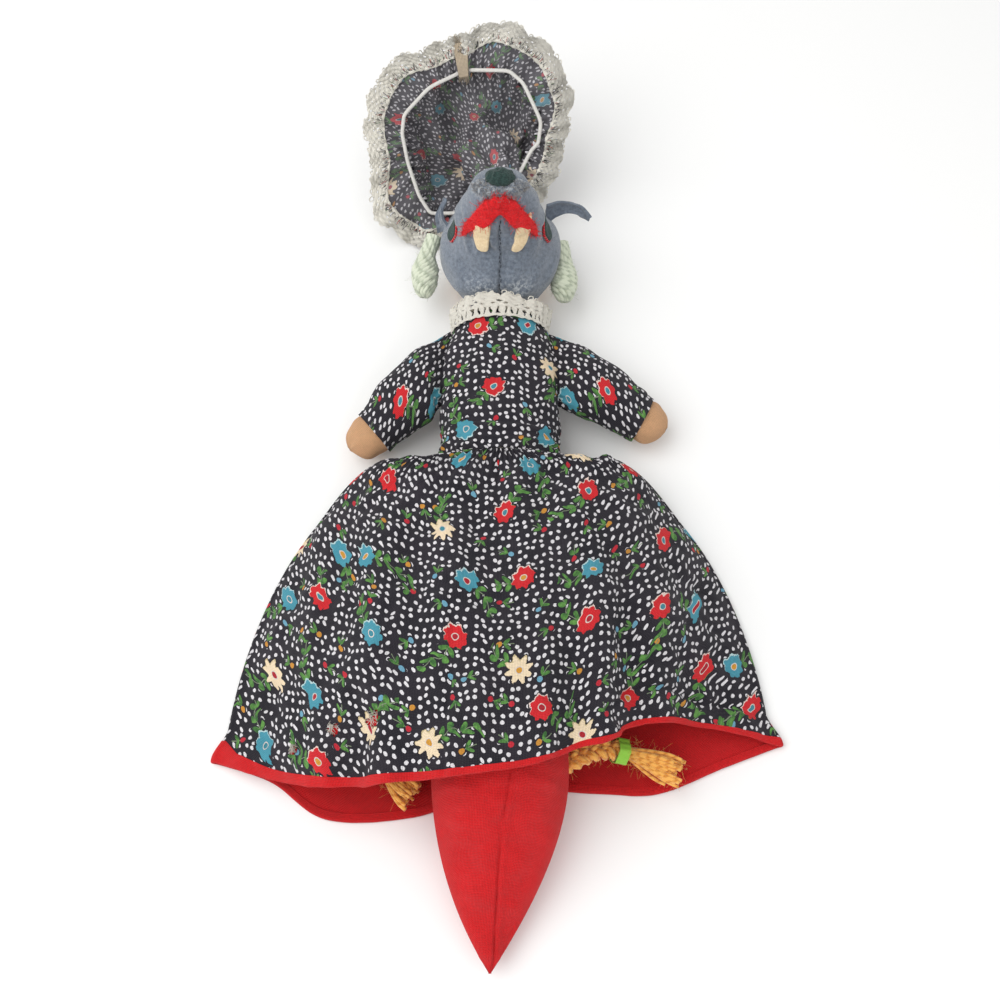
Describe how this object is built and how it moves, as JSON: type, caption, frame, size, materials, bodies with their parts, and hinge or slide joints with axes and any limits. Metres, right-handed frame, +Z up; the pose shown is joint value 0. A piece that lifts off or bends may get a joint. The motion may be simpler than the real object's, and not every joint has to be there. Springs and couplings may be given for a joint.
{
  "type": "topsy-turvy doll",
  "caption": "Cloth topsy-turvy doll lying on its back: a bonneted wolf end uncovered, a hooded girl end under the reversible calico skirt.",
  "frame": {"origin": "on the table, under the middle of the whole doll as it lies", "axes": "+Y along the doll from the girl's hood towards the wolf's head, +Z up from the table on which it lies, +X to the right of someone looking along +Y"},
  "size_m": [0.2726, 0.4888, 0.0989],
  "materials": {
    "calico": "plain-weave cotton, printed",
    "red_cotton": "plain-weave cotton",
    "grey_cotton": "brushed cotton",
    "skin_cotton": "plain-weave cotton, stuffed",
    "stuffing": "muslin sack with cotton stuffing",
    "dark_felt": "wool felt",
    "red_felt": "wool felt",
    "cream_felt": "wool felt",
    "cotton_lace": "cotton lace",
    "elastic": "braided elastic",
    "twill_tape": "cotton twill tape",
    "pale_yarn": "spun wool yarn",
    "rust_yarn": "spun wool yarn",
    "green_ribbon": "satin ribbon"
  },
  "bodies": {
    "torso": {"body_core": "stuffing", "wolf_bodice": "calico", "girl_bodice": "red_cotton", "waist_band": "calico", "skirt_calico_back": "calico", "skirt_lining_back": "red_cotton", "hem_binding_back": "red_cotton"},
    "skirt_front": {"skirt_calico_front": "calico", "skirt_lining_front": "red_cotton", "hem_binding_front": "red_cotton"},
    "wolf_head": {"wolf_head": "grey_cotton", "granny_face": "skin_cotton", "mouth_felt": "red_felt", "nose_felt": "dark_felt", "fang_left": "cream_felt", "fang_right": "cream_felt", "eye_left": "dark_felt", "eye_right": "dark_felt", "granny_hairline": "pale_yarn", "collar_lace": "cotton_lace"},
    "ear_left": {"ear_left": "grey_cotton"},
    "ear_right": {"ear_right": "grey_cotton"},
    "hair_bun_left": {"hair_bun_left": "pale_yarn"},
    "hair_bun_right": {"hair_bun_right": "pale_yarn"},
    "bonnet": {"bonnet_cloth": "calico", "bonnet_lace": "cotton_lace", "bonnet_elastic": "elastic", "elastic_tab": "twill_tape"},
    "wolf_arm_left": {"wolf_arm_left": "skin_cotton", "wolf_sleeve_left": "calico"},
    "wolf_arm_right": {"wolf_arm_right": "skin_cotton", "wolf_sleeve_right": "calico"},
    "girl_head": {"girl_head": "skin_cotton", "hood": "red_cotton"},
    "girl_arm_left": {"girl_arm_left": "skin_cotton", "girl_sleeve_left": "red_cotton"},
    "girl_arm_right": {"girl_arm_right": "skin_cotton", "girl_sleeve_right": "red_cotton"},
    "braid_left": {"braid_left": "rust_yarn", "ribbon_left": "green_ribbon"},
    "braid_right": {"braid_right": "rust_yarn", "ribbon_right": "green_ribbon"}
  },
  "joints": [
    {"name": "skirt_lift", "type": "hinge", "parent": "torso", "child": "skirt_front", "pos_m": [0.00103, -0.0014, 0.046], "axis": [-1, 0, 0], "range_deg": [0, 35]},
    {"name": "wolf_head_nod", "type": "hinge", "parent": "torso", "child": "wolf_head", "pos_m": [0.00103, 0.0826, 0.0235], "axis": [1, 0, 0], "range_deg": [0, 10], "stiffness_Nm_per_rad": 0.12},
    {"name": "ear_left_flex", "type": "hinge", "parent": "wolf_head", "child": "ear_left", "pos_m": [-0.03097, 0.1396, 0.038], "axis": [-0.7029, 0.4719, -0.5322], "range_deg": [-12, 2], "stiffness_Nm_per_rad": 0.001},
    {"name": "ear_right_flex", "type": "hinge", "parent": "wolf_head", "child": "ear_right", "pos_m": [0.02853, 0.1466, 0.043], "axis": [0.0802, 0.8617, 0.501], "range_deg": [-10, 12], "stiffness_Nm_per_rad": 0.001},
    {"name": "hair_bun_left_swing", "type": "hinge", "parent": "wolf_head", "child": "hair_bun_left", "pos_m": [-0.03547, 0.1396, 0.033], "axis": [0, 0, -1], "range_deg": [0, 20], "stiffness_Nm_per_rad": 0.002},
    {"name": "hair_bun_right_swing", "type": "hinge", "parent": "wolf_head", "child": "hair_bun_right", "pos_m": [0.03453, 0.1356, 0.031], "axis": [0, 0, 1], "range_deg": [0, 20], "stiffness_Nm_per_rad": 0.002},
    {"name": "bonnet_flip", "type": "hinge", "parent": "wolf_head", "child": "bonnet", "pos_m": [0.00403, 0.1635, 0.0435], "axis": [1, 0, 0], "range_deg": [0, 50]},
    {"name": "wolf_arm_left_lift", "type": "hinge", "parent": "torso", "child": "wolf_arm_left", "pos_m": [-0.03141, 0.0566, 0.0235], "axis": [0, 1, 0], "range_deg": [0, 45]},
    {"name": "wolf_arm_right_lift", "type": "hinge", "parent": "torso", "child": "wolf_arm_right", "pos_m": [0.03347, 0.0566, 0.0235], "axis": [0, -1, 0], "range_deg": [0, 45]},
    {"name": "girl_head_nod", "type": "hinge", "parent": "torso", "child": "girl_head", "pos_m": [0.00103, -0.0854, 0.0235], "axis": [-1, 0, 0], "range_deg": [0, 3], "stiffness_Nm_per_rad": 0.12},
    {"name": "girl_arm_left_lift", "type": "hinge", "parent": "torso", "child": "girl_arm_left", "pos_m": [-0.03141, -0.0594, 0.0235], "axis": [0, 1, 0], "range_deg": [0, 8]},
    {"name": "girl_arm_right_lift", "type": "hinge", "parent": "torso", "child": "girl_arm_right", "pos_m": [0.03347, -0.0594, 0.0235], "axis": [0, -1, 0], "range_deg": [0, 8]},
    {"name": "braid_left_swing", "type": "hinge", "parent": "girl_head", "child": "braid_left", "pos_m": [-0.03147, -0.1494, 0.0235], "axis": [0, 0, -1], "range_deg": [0, 6]},
    {"name": "braid_right_swing", "type": "hinge", "parent": "girl_head", "child": "braid_right", "pos_m": [0.03353, -0.1544, 0.0245], "axis": [0, 0, -1], "range_deg": [-5, 12]}
  ]
}
